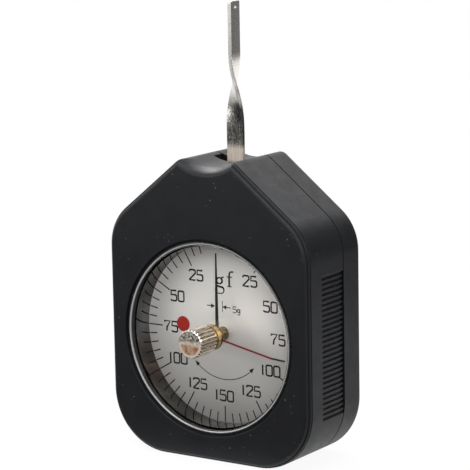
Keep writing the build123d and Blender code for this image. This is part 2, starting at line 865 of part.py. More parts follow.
with BuildPart() as sector_gear:
    wedge_reach = gear_centre_distance + sector_rim_width
    wedge_half = wedge_reach * sin(radians(sector_spoke_half_angle))
    wedge_drop = wedge_reach * cos(radians(sector_spoke_half_angle))
    with BuildSketch(depth_plane(sector_front_depth)):
        with Locations(*lever_axis):
            Circle(sector_root_radius)
        with BuildLine():
            Polyline(
                (0, pivot_height),
                (wedge_half, pivot_height - wedge_drop),
                (-wedge_half, pivot_height - wedge_drop),
                close=True,
            )
        make_face(mode=Mode.INTERSECT)
        with Locations(*lever_axis):
            Circle(sector_boss_radius)
            with PolarLocations(
                sector_root_radius - sector_addendum / 2,
                sector_teeth,
                start_angle=-90 - (sector_teeth - 1) / 2 * 360 / sector_full_teeth,
                angular_range=(sector_teeth - 1) * 360 / sector_full_teeth,
                endpoint=True,
            ):
                Trapezoid(
                    sector_tooth_root_width,
                    sector_dedendum + sector_addendum + sector_addendum / 2,
                    sector_tooth_flank_angle,
                    rotation=-90,
                    align=(Align.CENTER, Align.MIN),
                )
            Circle(hub_seat_radius, mode=Mode.SUBTRACT)
    extrude(amount=-sector_thickness)
finish(sector_gear, "sector_gear")

with BuildPart() as balance_weight:
    weight_depth = sector_front_depth + sector_thickness
    disc([(0, pivot_height - weight_drop)], weight_radius, weight_depth, weight_depth + weight_thickness)
finish(balance_weight, "balance_weight")

with BuildPart() as spring_collet:
    collet(lever_axis, main_collet_radius, shaft_radius, main_collet_depth, main_collet_length)
finish(spring_collet, "spring_collet")

with BuildPart() as measuring_spring:
    spiral_spring(
        pivot_height,
        main_collet_radius + main_spring_gap,
        main_spring_outer,
        main_spring_turns,
        main_spring_thickness,
        main_collet_depth + (main_collet_length - main_spring_height) / 2,
        main_spring_height,
    )
finish(measuring_spring, "measuring_spring")

with BuildPart() as spring_stud:
    main_stud_reach = main_spring_outer + main_spring_thickness / 2 + main_stud_radius
    disc(
        [(0, pivot_height - main_stud_reach)],
        main_stud_radius,
        front_plate_rear_depth,
        main_collet_depth + main_collet_length,
    )
finish(spring_stud, "spring_stud")

with BuildPart() as stop_pins:
    pin_angle = sector_spoke_half_angle + lever_swing
    pin_angle += degrees((stop_pin_radius + stop_pin_play) / stop_pin_reach)
    pin_places = [
        (
            side * stop_pin_reach * sin(radians(pin_angle)),
            pivot_height - stop_pin_reach * cos(radians(pin_angle)),
        )
        for side in (-1, 1)
    ]
    disc(pin_places, stop_pin_radius, sector_front_depth, rear_plate_depth)
finish(stop_pins, "stop_pins")
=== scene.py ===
"""Looks for a lever force gauge: finishes, dial printing, studio stage and camera."""

import math

import bmesh
import bpy
from mathutils import Matrix, Vector


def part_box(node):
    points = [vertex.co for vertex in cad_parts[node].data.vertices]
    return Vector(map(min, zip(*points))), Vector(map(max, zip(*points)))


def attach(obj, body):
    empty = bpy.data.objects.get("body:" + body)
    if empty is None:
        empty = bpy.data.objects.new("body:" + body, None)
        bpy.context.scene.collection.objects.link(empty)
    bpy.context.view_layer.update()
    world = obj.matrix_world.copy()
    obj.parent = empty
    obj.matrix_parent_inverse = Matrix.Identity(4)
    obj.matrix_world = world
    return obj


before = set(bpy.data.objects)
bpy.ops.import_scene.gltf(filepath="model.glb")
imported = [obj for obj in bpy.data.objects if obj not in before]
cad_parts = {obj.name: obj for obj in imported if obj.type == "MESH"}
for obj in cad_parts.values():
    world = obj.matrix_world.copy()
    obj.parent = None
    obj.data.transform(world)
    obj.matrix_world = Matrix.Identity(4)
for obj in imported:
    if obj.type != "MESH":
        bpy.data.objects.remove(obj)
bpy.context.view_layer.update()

bl_info = {
    "name": "Lever force gauge looks",
    "version": (1, 0, 0),
    "blender": (4, 5, 0),
    "location": "View3D > Sidebar > Force gauge",
    "description": "Finishes the pieces of a lever force gauge and sets up its stage",
    "category": "Object",
}

MM = 0.001
NOISE_LOW, NOISE_HIGH = 0.3, 0.7        # nearly all of a noise texture lies between these
DIAL_LOW, DIAL_HIGH = (Vector(corner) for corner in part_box("dial"))
DIAL_CENTRE = (DIAL_LOW + DIAL_HIGH) / 2
DIAL_FACE = DIAL_LOW.y
KNOB_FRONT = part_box("reset_knob")[0].y
LEVER_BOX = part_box("feeler_lever")
LEVER_MIDDLE = (LEVER_BOX[0].y + LEVER_BOX[1].y) / 2
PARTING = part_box("front_case")[1].y


# ---------------------------------------------------------------- settings
def size_setting(name, description, default):
    """A length that a user may change."""
    return bpy.props.FloatProperty(name=name, description=description, default=default, unit="LENGTH")


def colour_setting(name, description, default):
    """A colour that a user may change."""
    return bpy.props.FloatVectorProperty(
        name=name, description=description, default=default, size=3, subtype="COLOR", min=0, max=1
    )


class GaugeSizes(bpy.types.PropertyGroup):
    """Sizes of the dial's printing."""

    tick_width: size_setting("Tick width", "Width of a printed graduation", 0.33 * MM)
    minor_tick_start: size_setting("Minor tick start", "Inner radius of the short graduations", 21.6 * MM)
    major_tick_start: size_setting("Major tick start", "Inner radius of the long graduations", 19.63 * MM)
    tick_end: size_setting("Tick end", "Outer radius of all graduations", 24.0 * MM)
    figure_radius: size_setting("Figure radius", "Radius of the circle of figures", 16.9 * MM)
    figure_height: size_setting("Figure height", "Height of the dial's figures", 2.75 * MM)
    figure_stroke: size_setting("Figure stroke", "Line width of the dial's figures", 0.5 * MM)
    print_rise: size_setting("Print thickness", "Thickness of the printed ink", 0.03 * MM)
    arc_radius: size_setting("Arc radius", "Radius of the arc with an arrowhead at each end", 12.5 * MM)
    dot_radius: size_setting("Dot radius", "Radius of the red dot", 2.05 * MM)


class GaugeColours(bpy.types.PropertyGroup):
    """Colours of the finishes."""

    case_black: colour_setting("Case black", "Moulded case", (0.0064, 0.0068, 0.008))
    dial_silver: colour_setting("Dial silver", "Satin dial", (0.87, 0.85, 0.83))
    print_black: colour_setting("Printing black", "Ink of the dial", (0.008, 0.008, 0.009))
    dot_red: colour_setting("Dot red", "Red dot on the dial", (0.34, 0.022, 0.014))
    pointer_black: colour_setting("Pointer black", "Paint of the main pointer", (0.014, 0.014, 0.015))
    pointer_red: colour_setting("Pointer red", "Paint of the peak pointer", (0.20, 0.004, 0.010))
    nickel: colour_setting("Nickel", "Plated feeler lever", (0.74, 0.715, 0.67))
    pale_brass: colour_setting("Pale brass", "Turned reset knob", (0.63, 0.555, 0.47))
    yellow_brass: colour_setting("Yellow brass", "Bushes, hubs and plates", (0.70, 0.50, 0.22))
    screw_black: colour_setting("Screw black", "Blackened screws of the case", (0.05, 0.05, 0.052))
    rivet_steel: colour_setting("Rivet steel", "Rivets of the feeler lever", (0.55, 0.54, 0.52))
    shaft_steel: colour_setting("Shaft steel", "Shaft of the feeler lever", (0.6, 0.6, 0.61))
    movement_steel: colour_setting("Movement steel", "Screws, arbor and stop pins", (0.58, 0.58, 0.6))
    spring_steel: colour_setting("Spring steel", "Hairspring and measuring spring", (0.42, 0.43, 0.47))


# ---------------------------------------------------------------- shader helpers
class Shading:
    """A tree of shader nodes, and short ways to add to it."""

    def __init__(self, tree):
        self.tree = tree
        self.nodes = tree.nodes

    def link(self, source, target):
        self.tree.links.new(source, target)

    def put(self, value, socket):
        """Links an output to a socket, or writes a plain number there."""
        if isinstance(value, bpy.types.NodeSocket):
            self.link(value, socket)
        else:
            socket.default_value = value

    def range(self, value, low, high, to_low=0.0, to_high=1.0):
        """Maps a value from one range to another, clamped."""
        node = self.nodes.new("ShaderNodeMapRange")
        node.inputs["From Min"].default_value = low
        node.inputs["From Max"].default_value = high
        node.inputs["To Min"].default_value = to_low
        node.inputs["To Max"].default_value = to_high
        self.link(value, node.inputs["Value"])
        return node.outputs["Result"]

    def maths(self, operation, first, second=0.0):
        """Arithmetic on values or sockets."""
        node = self.nodes.new("ShaderNodeMath")
        node.operation = operation
        self.put(first, node.inputs[0])
        self.put(second, node.inputs[1])
        return node.outputs[0]

    def times(self, first, second):
        return self.maths("MULTIPLY", first, second)

    def band(self, value, rise, fall):
        """One between two fades, each a pair of values, and nothing outside them."""
        return self.times(self.range(value, *rise), self.range(value, *fall, 1, 0))

    def length(self, vector):
        node = self.nodes.new("ShaderNodeVectorMath")
        node.operation = "LENGTH"
        self.link(vector, node.inputs[0])
        return node.outputs["Value"]

    def seen(self):
        """One for what the camera sees, straight or through reflections and clear pieces."""
        path = self.nodes.new("ShaderNodeLightPath")
        seen = path.outputs["Is Camera Ray"]
        for ray in ("Is Glossy Ray", "Is Transmission Ray"):
            seen = self.maths("MAXIMUM", seen, path.outputs[ray])
        return seen


class Finish(Shading):
    """A material under construction, with its surface shader and object coordinates."""

    def __init__(self, name):
        self.material = bpy.data.materials.new(name)
        self.material.use_nodes = True
        super().__init__(self.material.node_tree)
        self.surface = self.nodes["Principled BSDF"]
        self.place = self.nodes.new("ShaderNodeTexCoord").outputs["Object"]

    def set(self, **values):
        """Sets plain values on the surface shader."""
        for key, value in values.items():
            self.surface.inputs[key.replace("_", " ").title().replace("Ior", "IOR")].default_value = value

    def to(self, socket, value):
        """Feeds a socket of the surface shader."""
        self.link(value, self.surface.inputs[socket])

    def rough(self, pattern, low, high):
        """Makes the roughness follow a noise, between two values."""
        self.to("Roughness", self.range(pattern, NOISE_LOW, NOISE_HIGH, low, high))

    def mapped(self, scale=(1, 1, 1), location=(0, 0, 0)):
        """Object coordinates scaled and moved."""
        node = self.nodes.new("ShaderNodeMapping")
        node.inputs["Location"].default_value = location
        node.inputs["Scale"].default_value = scale
        self.link(self.place, node.inputs["Vector"])
        return node.outputs["Vector"]

    def noise(self, scale, detail=3.0, roughness=0.55, vector=None):
        """Noise of a given scale, in features per metre."""
        node = self.nodes.new("ShaderNodeTexNoise")
        node.inputs["Scale"].default_value = scale
        node.inputs["Detail"].default_value = detail
        node.inputs["Roughness"].default_value = roughness
        self.link(vector or self.place, node.inputs["Vector"])
        return node.outputs["Fac"]

    def spots(self, scale):
        """Distance to scattered points, of a given number per metre."""
        node = self.nodes.new("ShaderNodeTexVoronoi")
        node.inputs["Scale"].default_value = scale
        self.link(self.place, node.inputs["Vector"])
        return node.outputs["Distance"]

    def specks(self, scale, size, cloud, crowd):
        """Small specks at scattered points, kept to where a wide noise is high.

        A speck fades out over the two distances of its size, and specks fade in over the two
        values of the noise where they crowd.
        """
        speck = self.range(self.spots(scale), *size, 1, 0)
        return self.times(speck, self.range(self.noise(*cloud), *crowd))

    def blend(self, factor, first, second):
        """Mixes two colours, each a colour or a socket."""
        node = self.nodes.new("ShaderNodeMix")
        node.data_type = "RGBA"
        self.link(factor, node.inputs["Factor"])
        for socket, value in ((node.inputs[6], first), (node.inputs[7], second)):
            self.put(value if isinstance(value, bpy.types.NodeSocket) else (*value[:3], 1), socket)
        return node.outputs[2]

    def mottled(self, factor, colour, dark, light):
        """A colour that a pattern makes darker and lighter."""
        return self.blend(factor, tinted(colour, dark), tinted(colour, light))

    def shader(self, kind, **values):
        """A further shader with plain values."""
        node = self.nodes.new("ShaderNodeBsdf" + kind)
        for key, value in values.items():
            node.inputs[key.replace("_", " ").title()].default_value = value
        return node.outputs[0]

    def mix(self, factor, first, second):
        """Mixes two shaders."""
        node = self.nodes.new("ShaderNodeMixShader")
        for socket, value in zip(node.inputs, (factor, first, second)):
            self.link(value, socket)
        return node.outputs["Shader"]

    def show(self, shader):
        """Makes a shader the material's own."""
        self.link(shader, self.nodes["Material Output"].inputs["Surface"])

    def bump(self, height, strength, distance, normal=None):
        """Bump from a height, in metres."""
        node = self.nodes.new("ShaderNodeBump")
        node.inputs["Strength"].default_value = strength
        node.inputs["Distance"].default_value = distance
        self.link(height, node.inputs["Height"])
        if normal:
            self.link(normal, node.inputs["Normal"])
        return node.outputs["Normal"]

    def soft_edges(self, radius):
        """Normal that rounds the edges of a solid."""
        node = self.nodes.new("ShaderNodeBevel")
        node.samples = 6
        node.inputs["Radius"].default_value = radius
        return node.outputs["Normal"]

    def along(self, axis):
        """Object coordinate along one axis."""
        node = self.nodes.new("ShaderNodeSeparateXYZ")
        self.link(self.place, node.inputs[0])
        return node.outputs[axis]

    def dial_radius(self):
        """Distance from the axis of the dial."""
        return self.length(self.mapped(scale=(1, 0, 1), location=(-DIAL_CENTRE.x, 0, -DIAL_CENTRE.z)))


def dress(node, finish):
    """Gives a node of the frame its finish."""
    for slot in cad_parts[node].material_slots:
        slot.material = finish.material


def tinted(colour, factor):
    """A colour made lighter or darker."""
    return tuple(min(1, channel * factor) for channel in colour)


# ---------------------------------------------------------------- finishes
def moulded_black():
    """Grained black plastic with a little dust, and painted shade in the gap along the parting line."""
    finish = Finish("moulded_black_plastic")
    colour = bpy.context.scene.gauge_colours.case_black
    dust_grey, painted_gap_shade = (0.34, 0.34, 0.34), (0, 0, 0)
    gap_front = PARTING - 0.06 * MM, PARTING - 0.02 * MM
    gap_rear = PARTING + 0.32 * MM, PARTING + 0.36 * MM
    dust = finish.specks(560, (0.05, 0.09), (70, 2), (0.48, 0.6))
    base = finish.mottled(finish.noise(90, 3, 0.6), colour, 0.85, 1.2)
    base = finish.blend(finish.times(dust, 0.4), base, dust_grey)
    # painted shade: a black, rough band across the parting line, a little wider than the groove, stands in
    # for the shade inside it
    gap = finish.band(finish.along("Y"), gap_front, gap_rear)
    finish.to("Base Color", finish.blend(gap, base, painted_gap_shade))
    sheen = finish.range(finish.noise(260, 3), NOISE_LOW, NOISE_HIGH, 0.4, 0.5)
    finish.to("Roughness", finish.maths("MAXIMUM", sheen, gap))
    finish.set(specular_ior_level=0.245, specular_tint=(0.94, 0.95, 0.98, 1))
    grain = finish.noise(5200, 4, 0.6)
    finish.to("Normal", finish.bump(grain, 0.28, 0.12 * MM, finish.soft_edges(0.2 * MM)))
    return finish


def gloss_black():
    """Glossy dark wall with painted reflections that make it greyest beside the dial's centre, and brown
    smears.
    """
    finish = Finish("gloss_black_wall")
    brown, grey = (0.08, 0.062, 0.05), (0.21, 0.21, 0.212)
    painted_top_dark, painted_foot_grey = (0.095, 0.093, 0.09), (0.125, 0.12, 0.11)
    smear_brown, wiped_black = (0.085, 0.063, 0.05), (0.04, 0.038, 0.036)
    foot_fade = DIAL_CENTRE.z - 17 * MM, DIAL_CENTRE.z - 14 * MM
    grey_fade = DIAL_CENTRE.z - 8 * MM, DIAL_CENTRE.z - 2 * MM
    top_fade = DIAL_CENTRE.z + 5 * MM, DIAL_CENTRE.z + 9 * MM
    # painted reflections: lighter at the foot, brown below the middle, greyest beside the dial's centre and
    # dark at the top; the smears and wipes over them vary at random
    height = finish.along("Z")
    tone = finish.blend(finish.range(height, *grey_fade), brown, grey)
    tone = finish.blend(finish.range(height, *top_fade), tone, painted_top_dark)
    tone = finish.blend(finish.range(height, *foot_fade, 1, 0), tone, painted_foot_grey)
    smear = finish.range(finish.noise(110, 2, 0.5), 0.5, 0.6, 0, 0.6)
    tone = finish.blend(smear, tone, smear_brown)
    wipe = finish.noise(160, 4, 0.6)
    finish.to("Base Color", finish.blend(finish.range(wipe, 0.4, 0.62, 0, 0.45), tone, wiped_black))
    finish.rough(wipe, 0.0, 0.03)
    finish.set(metallic=1.0)
    return finish


def clear_window():
    """Clear crystal that lets light through, with a painted reflection of the brass bush in its bore and
    painted shade, matt black, on its rim.
    """
    finish = Finish("clear_window")
    painted_bore_fade = 3.42 * MM, 3.44 * MM
    rim_fade = 24.48 * MM, 24.5 * MM
    finish.set(base_color=(0.99, 0.99, 0.985, 1), roughness=0.0, ior=1.49, transmission_weight=1.0)
    clear = finish.shader("Transparent", color=(0.94, 0.937, 0.925, 1))
    shadow = finish.nodes.new("ShaderNodeLightPath").outputs["Is Shadow Ray"]
    pane = finish.mix(shadow, finish.surface.outputs["BSDF"], clear)
    # painted reflection: the bore's wall shows brass, standing in for the brass bush seen there
    yellow = (*bpy.context.scene.gauge_colours.yellow_brass, 1)
    brass = finish.shader("Metallic", base_color=yellow, roughness=0.25)
    pane = finish.mix(finish.range(finish.dial_radius(), *painted_bore_fade, 1, 0), pane, brass)
    # painted shade: the crystal's rim is matt black, standing in for the shade at the crystal's edge
    matt = finish.shader("Diffuse", color=(0.04, 0.039, 0.038, 1))
    finish.show(finish.mix(finish.range(finish.dial_radius(), *rim_fade), pane, matt))
    return finish


def satin_silver():
    """Satin silver paint with painted shade that darkens it towards the foot of the dial, and a few specks.
    """
    finish = Finish("satin_silver_dial")
    colour = bpy.context.scene.gauge_colours.dial_silver
    speck_grey = (0.1, 0.1, 0.1)
    shade_fade = DIAL_CENTRE.z - 24 * MM, DIAL_CENTRE.z + 6 * MM
    base = finish.mottled(finish.noise(60, 3, 0.5), colour, 0.97, 1.03)
    # painted shade: the silver falls to three tenths of its colour towards the foot of the dial
    base = finish.blend(finish.range(finish.along("Z"), *shade_fade), tinted(colour, 0.3), base)
    speck = finish.specks(260, (0.03, 0.05), (140, 1), (0.62, 0.68))
    finish.to("Base Color", finish.blend(finish.times(speck, 0.5), base, speck_grey))
    grain = finish.noise(3800, 3, 0.7)
    brushed = finish.noise(900, 3, 0.6, finish.mapped(scale=(0.06, 1, 1)))
    finish.rough(grain, 0.3, 0.38)
    finish.set(metallic=0.25)
    height = finish.maths("ADD", grain, finish.times(brushed, 0.5))
    finish.to("Normal", finish.bump(height, 0.05, 0.04 * MM))
    return finish


def ink(name, colour, scale=900):
    """Satin ink or paint, a little uneven."""
    finish = Finish(name)
    patch = finish.noise(scale, 3, 0.6)
    finish.to("Base Color", finish.mottled(patch, colour, 0.85, 1.25))
    finish.rough(patch, 0.5, 0.62)
    finish.to("Normal", finish.bump(finish.noise(6000, 2), 0.15, 0.02 * MM))
    finish.set(specular_ior_level=0.12)
    return finish


def plated_strip():
    """Nickel plating, bare at the foot and worn above it, with painted light that brightens the twist and
    painted shade that darkens the upper face.
    """
    finish = Finish("nickel_plated_strip")
    colour = bpy.context.scene.gauge_colours.nickel
    bare_metal, worn_black = (0.56, 0.49, 0.42), (0.07, 0.062, 0.052)
    # heights above the foot of the case over which one look fades into the next
    matt_fade, bare_fade = (80.5 * MM, 82 * MM), (81 * MM, 82.5 * MM)
    worn_rise, rub_fade, worn_fall = (81 * MM, 83 * MM), (91 * MM, 92 * MM), (92 * MM, 96 * MM)
    twist_light_rise, twist_light_fall = (96 * MM, 99 * MM), (103 * MM, 106 * MM)
    dull_rise = 103.5 * MM, 106 * MM
    # the upper face, square to this direction, lies this far from the lever's middle
    face_x, face_y = 0.9925, 0.122
    face_fade = 0.46 * MM, 0.485 * MM

    stain = finish.noise(420, 5, 0.65)
    base = finish.blend(finish.range(stain, 0.5, 0.72), colour, tinted(colour, 0.62))
    height = finish.along("Z")
    base = finish.blend(finish.range(height, *bare_fade, 1, 0), base, bare_metal)
    # painted light: the twist is made brighter than the rest of the plating
    base = finish.blend(finish.band(height, twist_light_rise, twist_light_fall), base, tinted(colour, 1.28))
    across = finish.times(finish.along("X"), face_x)
    aslant = finish.times(finish.maths("SUBTRACT", finish.along("Y"), LEVER_MIDDLE), face_y)
    face = finish.range(finish.maths("ADD", across, aslant), *face_fade)
    # painted shade: above the twist the upper face is darkened to less than half of the plating's colour
    painted_face_shade = finish.times(finish.range(height, *dull_rise), face)
    base = finish.blend(painted_face_shade, base, tinted(colour, 0.44))
    blotch = finish.range(finish.noise(2100, 4, 0.7), 0.4, 0.58)
    blotch = finish.maths("MAXIMUM", blotch, finish.range(height, *rub_fade, 0, 0.6))
    wear = finish.maths("ADD", finish.times(blotch, 0.6), 0.35)
    worn = finish.times(finish.band(height, worn_rise, worn_fall), wear)
    finish.to("Base Color", finish.blend(worn, base, worn_black))
    finish.to("Metallic", finish.range(height, *matt_fade, 0.3, 1.0))
    grain = finish.noise(2600, 3, 0.6, finish.mapped(scale=(1, 1, 0.05)))
    finish.rough(grain, 0.2, 0.32)
    finish.to("Normal", finish.bump(grain, 0.1, 0.03 * MM, finish.soft_edges(0.12 * MM)))
    return finish


def turned_metal(name, rough):
    """Metal with fine turned rings, and the tarnish that makes it rougher."""
    finish = Finish(name)
    rings = finish.nodes.new("ShaderNodeTexWave")
    rings.wave_type = "RINGS"
    rings.rings_direction = "Y"
    rings.inputs["Scale"].default_value = 1700
    rings.inputs["Distortion"].default_value = 1.2
    rings.inputs["Detail Scale"].default_value = 3
    centred = finish.mapped(location=(-DIAL_CENTRE.x, 0, -DIAL_CENTRE.z))
    finish.link(centred, rings.inputs["Vector"])
    tarnish = finish.noise(700, 4, 0.65)
    finish.set(metallic=1.0)
    finish.rough(tarnish, *rough)
    finish.to("Normal", finish.bump(rings.outputs["Fac"], 0.08, 0.03 * MM, finish.soft_edges(0.06 * MM)))
    return finish, tarnish


def turned_brass(name, colour, rough=(0.18, 0.3)):
    """Turned brass with patches of tarnish."""
    finish, tarnish = turned_metal(name, rough)
    finish.to("Base Color", finish.blend(finish.range(tarnish, 0.45, 0.75), colour, tinted(colour, 0.6)))
    return finish


def grooved_brass():
    """Bright turned brass in bands along its axis, the dark brown bands being painted shade."""
    finish, _ = turned_metal("bush_brass", (0.08, 0.16))
    bright = tinted(bpy.context.scene.gauge_colours.yellow_brass, 0.6)
    shade_band_brown = (0.13, 0.07, 0.03)
    # painted shade: dark brown bands along the axis stand in for the shaded steps of the collar
    painted_shade_bands = finish.range(finish.noise(1500, 2, 0.5, finish.mapped(scale=(0, 1, 0))), 0.46, 0.56)
    finish.to("Base Color", finish.blend(painted_shade_bands, shade_band_brown, bright))
    return finish


def fluted_brass():
    """Pale turned brass with painted shade in the flutes, a painted highlight on the rim, and an end worn
    low in the middle, with painted light on its lower half and painted mottled shade on its upper half.
    """
    finish = Finish("fluted_brass")
    pale = bpy.context.scene.gauge_colours.pale_brass
    flute_shade_brown, painted_rim_highlight = (0.25, 0.195, 0.15), (0.9, 0.87, 0.83)
    worn_brown, worn_pale = (0.22, 0.11, 0.055), (0.36, 0.25, 0.175)
    lit_end_warm, shaded_end_grey, painted_mottled_shade = (0.50, 0.41, 0.33), (0.42, 0.39, 0.35), (0.05, 0.045, 0.035)
    flute_shade_fade, margin_fade = (3.5 * MM, 3.66 * MM), (2.6 * MM, 3.0 * MM)
    end_fade = KNOB_FRONT + 0.02 * MM, KNOB_FRONT + 0.04 * MM
    rim_fade = KNOB_FRONT + 0.34 * MM, KNOB_FRONT + 0.36 * MM
    middle_fade = DIAL_CENTRE.z - 0.6 * MM, DIAL_CENTRE.z + 0.2 * MM
    upper_fade = DIAL_CENTRE.z + 0.1 * MM, DIAL_CENTRE.z + 1.1 * MM

    tarnish = finish.noise(900, 3, 0.55, finish.mapped(scale=(1, 0.12, 1)))
    radius, depth, height = finish.dial_radius(), finish.along("Y"), finish.along("Z")
    land = finish.blend(finish.range(tarnish, 0.45, 0.75), tinted(pale, 1.12), tinted(pale, 0.85))
    # painted shade: the roots of the flutes are brown, darker than the lands
    side = finish.blend(finish.range(radius, *flute_shade_fade), flute_shade_brown, land)
    # painted highlight: the chamfered rim at the front is near white
    side = finish.blend(finish.range(depth, *rim_fade, 1, 0), side, painted_rim_highlight)

    # painted light and shade on the end face: its lower half warm as if lit, its upper half greyer with
    # mottled black shade; the streaks low in the middle are wear
    upper = finish.range(height, *upper_fade)
    streak = finish.range(finish.noise(900, 4, 0.7, finish.mapped(scale=(1, 1, 0.5))), 0.42, 0.56)
    worn = finish.blend(streak, worn_brown, worn_pale)
    margin = finish.maths("MAXIMUM", finish.range(height, *middle_fade), finish.range(radius, *margin_fade))
    end = finish.blend(margin, worn, finish.blend(upper, lit_end_warm, shaded_end_grey))
    mottle = finish.range(finish.noise(1500, 4, 0.7), 0.46, 0.52)
    end = finish.blend(finish.times(upper, mottle), end, painted_mottled_shade)

    flat = finish.range(depth, *end_fade, 1, 0)
    finish.to("Base Color", finish.blend(flat, side, end))
    finish.to("Metallic", finish.range(flat, 0, 1, 1, 0.35))
    finish.rough(tarnish, 0.2, 0.32)
    finish.to("Normal", finish.bump(tarnish, 0.12, 0.03 * MM, finish.soft_edges(0.05 * MM)))
    return finish


def brushed_metal(name, colour, stretch=(0.05, 1, 1), rough=(0.25, 0.4)):
    """Metal with a grain drawn out along the axis that has the small scale."""
    finish = Finish(name)
    finish.to("Base Color", finish.mottled(finish.noise(300, 3, 0.6), colour, 0.85, 1.1))
    finish.set(metallic=1.0)
    grain = finish.noise(1800, 3, 0.6, finish.mapped(scale=stretch))
    finish.rough(grain, *rough)
    finish.to("Normal", finish.bump(grain, 0.12, 0.03 * MM, finish.soft_edges(0.06 * MM)))
    return finish


def bright_ring():
    """Soft polished metal with wear, and painted shade, black, on its outer edge."""
    finish = Finish("polished_ring")
    polished, rubbed, painted_edge_shade = (0.37, 0.37, 0.37), (0.26, 0.255, 0.25), (0.03, 0.03, 0.031)
    edge_fade = 24.98 * MM, 25.08 * MM
    wear = finish.noise(900, 4, 0.65)
    metal = finish.blend(finish.range(wear, 0.5, 0.8), polished, rubbed)
    # painted shade: beyond a radius the ring turns black, standing in for the shaded gap at its edge
    finish.to("Base Color", finish.blend(finish.range(finish.dial_radius(), *edge_fade), metal, painted_edge_shade))
    finish.set(metallic=0.35)
    finish.rough(wear, 0.2, 0.3)
    finish.to("Normal", finish.bump(wear, 0.04, 0.02 * MM, finish.soft_edges(0.08 * MM)))
    return finish


def peak_pointer_paint():
    """Red paint, with a black tip beyond the bend."""
    finish = Finish("peak_pointer_paint")
    colour = bpy.context.scene.gauge_colours.pointer_red
    tip_black = (0.02, 0.016, 0.016)
    tip_fade = 18.4 * MM, 18.9 * MM
    patch = finish.noise(1200, 3, 0.6)
    red = finish.mottled(patch, colour, 0.8, 1.2)
    finish.to("Base Color", finish.blend(finish.range(finish.dial_radius(), *tip_fade), red, tip_black))
    finish.rough(patch, 0.28, 0.4)
    finish.to("Normal", finish.bump(finish.noise(5000, 2), 0.1, 0.02 * MM))
    return finish


# ---------------------------------------------------------------- dial printing
# strokes of each figure in a box one unit wide and high, and whether they close
DIGITS = {
    "0": ([(0.16, 0), (0.84, 0), (1, 0.1), (1, 0.9), (0.84, 1), (0.16, 1), (0, 0.9), (0, 0.1)], True),
    "1": ([(0, 1), (0, 0)], False),
    "2": ([(0, 0.8), (0, 0.92), (0.14, 1), (0.86, 1), (1, 0.9), (1, 0.68), (0, 0.05), (0, 0), (1, 0)],
          False),
    "5": ([(0.96, 1), (0.06, 1), (0.02, 0.58), (0.86, 0.58), (1, 0.48), (1, 0.12), (0.84, 0), (0.14, 0),
           (0, 0.12)], False),
    "7": ([(0, 0.84), (0, 1), (1, 1), (0.42, 0.4), (0.36, 0)], False),
}
DIGIT_WIDTHS = {"0": 0.66, "1": 0.2, "2": 0.66, "5": 0.66, "7": 0.64}
DIGIT_GAP = 0.2
HAIRLINE, THIN, THICK = 0.22 * MM, 0.28 * MM, 0.55 * MM
ARROWHEAD = [0.04 * MM, 1.2 * MM]       # widths at its tip and at its base
TURN_PER_UNIT = 1.2                     # degrees of the dial
UNITS_PER_TICK = 5


def on_circle(radius, angle):
    """A point at a clockwise angle from the top of the dial, in metres from its centre."""
    return radius * math.sin(math.radians(angle)), radius * math.cos(math.radians(angle))


def in_mm(points, origin=(0, 0)):
    """Points given in millimetres from an origin on the dial, in metres from the dial's centre."""
    return [((origin[0] + x) * MM, (origin[1] + z) * MM) for x, z in points]


def oval(half_width, half_height):
    """Eight points round an upright oval, clockwise from its top."""
    return [(half_width * x, half_height * z) for x, z in (on_circle(1, 45 * step) for step in range(8))]


class Printing:
    """Ink lines gathered in one curve, drawn on the dial's plane in metres from its centre."""

    def __init__(self, name):
        self.curve = bpy.data.curves.new(name, "CURVE")
        self.curve.dimensions = "3D"
        self.curve.bevel_depth = 1.0
        self.curve.bevel_resolution = 2
        self.curve.resolution_u = 4
        self.curve.use_fill_caps = True
        self.name = name

    def line(self, points, width, closed=False, kind="POLY"):
        """A run of straight strokes, with one width or one for each point."""
        spline = self.curve.splines.new(kind)
        spline.points.add(len(points) - 1)
        widths = width if isinstance(width, list) else [width] * len(points)
        for point, (x, z), across in zip(spline.points, points, widths):
            point.co = (x, 0, z, 1)
            point.radius = across / 2
        spline.use_cyclic_u = closed
        return spline

    def smooth(self, points, width, closed=False):
        """A smooth stroke through control points, with one width or one for each."""
        spline = self.line(points, width, closed, "NURBS")
        spline.order_u = 3
        spline.use_endpoint_u = not closed

    def figure(self, text, centre, height, stroke):
        """Upright figures about a centre."""
        widths = [DIGIT_WIDTHS[digit] * height for digit in text]
        cursor = centre[0] - (sum(widths) + DIGIT_GAP * height * (len(text) - 1)) / 2
        for digit, width in zip(text, widths):
            points, closed = DIGITS[digit]
            self.line(
                [(cursor + x * width, centre[1] + (z - 0.5) * height) for x, z in points], stroke, closed
            )
            cursor += width + DIGIT_GAP * height

    def mesh(self, thickness, finish):
        """Turns the strokes into one flat mesh on the dial."""
        holder = bpy.data.objects.new(self.name + "_strokes", self.curve)
        bpy.context.scene.collection.objects.link(holder)
        bpy.context.view_layer.update()
        mesh = bpy.data.meshes.new_from_object(holder)
        bpy.data.objects.remove(holder)
        work = bmesh.new()
        work.from_mesh(mesh)
        top = max(vertex.co.y for vertex in work.verts)
        bmesh.ops.scale(work, vec=(1, thickness / top, 1), verts=work.verts)
        bmesh.ops.translate(work, vec=(DIAL_CENTRE.x, DIAL_FACE, DIAL_CENTRE.z), verts=work.verts)
        bmesh.ops.recalc_face_normals(work, faces=work.faces)
        work.to_mesh(mesh)
        work.free()
        mesh.name = self.name
        mesh.materials.clear()
        mesh.materials.append(finish.material)
        piece = bpy.data.objects.new(self.name, mesh)
        bpy.context.scene.collection.objects.link(piece)
        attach(piece, "root")


